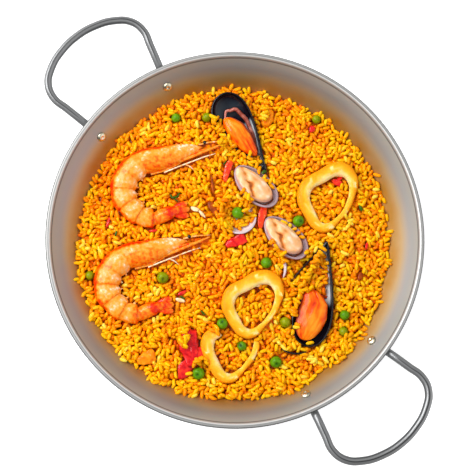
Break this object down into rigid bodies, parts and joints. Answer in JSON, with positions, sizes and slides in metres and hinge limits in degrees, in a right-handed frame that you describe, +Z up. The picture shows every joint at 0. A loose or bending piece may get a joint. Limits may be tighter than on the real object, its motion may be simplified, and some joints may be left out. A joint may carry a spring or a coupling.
{
  "type": "paella in a pan",
  "caption": "Seafood rice dish in its shallow round steel pan with loop handles: yellow rice with prawns, mussels, clams, squid rings, peas and red pepper.",
  "frame": {"origin": "middle of the pan's flat underside, on the surface that it stands on", "axes": "+Z up; +X through the handles; +Y across, level with the rim"},
  "size_m": [0.3896, 0.28, 0.0448],
  "materials": {
    "pan_steel": "satin spun steel",
    "handle_wire": "bright drawn wire",
    "rivet_metal": "pale domed rivet heads, satin",
    "rice": "moist cooked grains, yellow to orange",
    "prawn": "cooked shell, orange with pale bands, moist sheen",
    "mussel_shell": "smooth black shell, dark blue tint",
    "mussel_meat": "moist cooked meat, orange",
    "clam_shell": "pale lilac-grey shell",
    "clam_meat": "moist cooked meat, cream",
    "squid": "oily cooked flesh, yellow",
    "pea": "smooth skin, bright green",
    "olive_pea": "smooth skin, olive green",
    "pepper": "moist cooked pepper, red",
    "fish": "cooked fish, orange-yellow"
  },
  "bodies": {
    "root": {"prawn_1": "prawn", "prawn_2": "prawn", "mussel_1_shell": "mussel_shell", "mussel_1_meat": "mussel_meat", "mussel_2_shell": "mussel_shell", "mussel_2_meat": "mussel_meat", "rice_in_mussel_2": "rice", "clam_1_valve": "clam_shell", "clam_1_meat": "clam_meat", "clam_1_lower_valve": "clam_shell", "rice_in_clam_1": "rice", "clam_2_valve": "clam_shell", "clam_2_meat": "clam_meat", "clam_2_lower_valve": "clam_shell", "mussel_2_second_valve": "mussel_shell", "squid_ring_1": "squid", "squid_ring_2": "squid", "squid_ring_3": "squid", "pea_1": "pea", "pea_2": "pea", "pea_3": "pea", "pea_4": "pea", "pea_5": "pea", "pea_6": "pea", "pea_7": "pea", "pea_8": "pea", "pea_9": "pea", "olive_pea_1": "olive_pea", "olive_pea_2": "olive_pea", "olive_pea_3": "olive_pea", "olive_pea_4": "olive_pea", "olive_pea_5": "olive_pea", "olive_pea_6": "olive_pea", "pepper_1": "pepper", "pepper_2": "pepper", "pepper_3": "pepper", "pepper_4": "pepper", "pepper_5": "pepper", "fish_1": "fish", "fish_2": "fish", "rice": "rice", "pan": "pan_steel", "handle_right": "handle_wire", "handle_left": "handle_wire", "rivet_1": "rivet_metal", "rivet_2": "rivet_metal", "rivet_3": "rivet_metal", "rivet_4": "rivet_metal"}
  },
  "joints": []
}
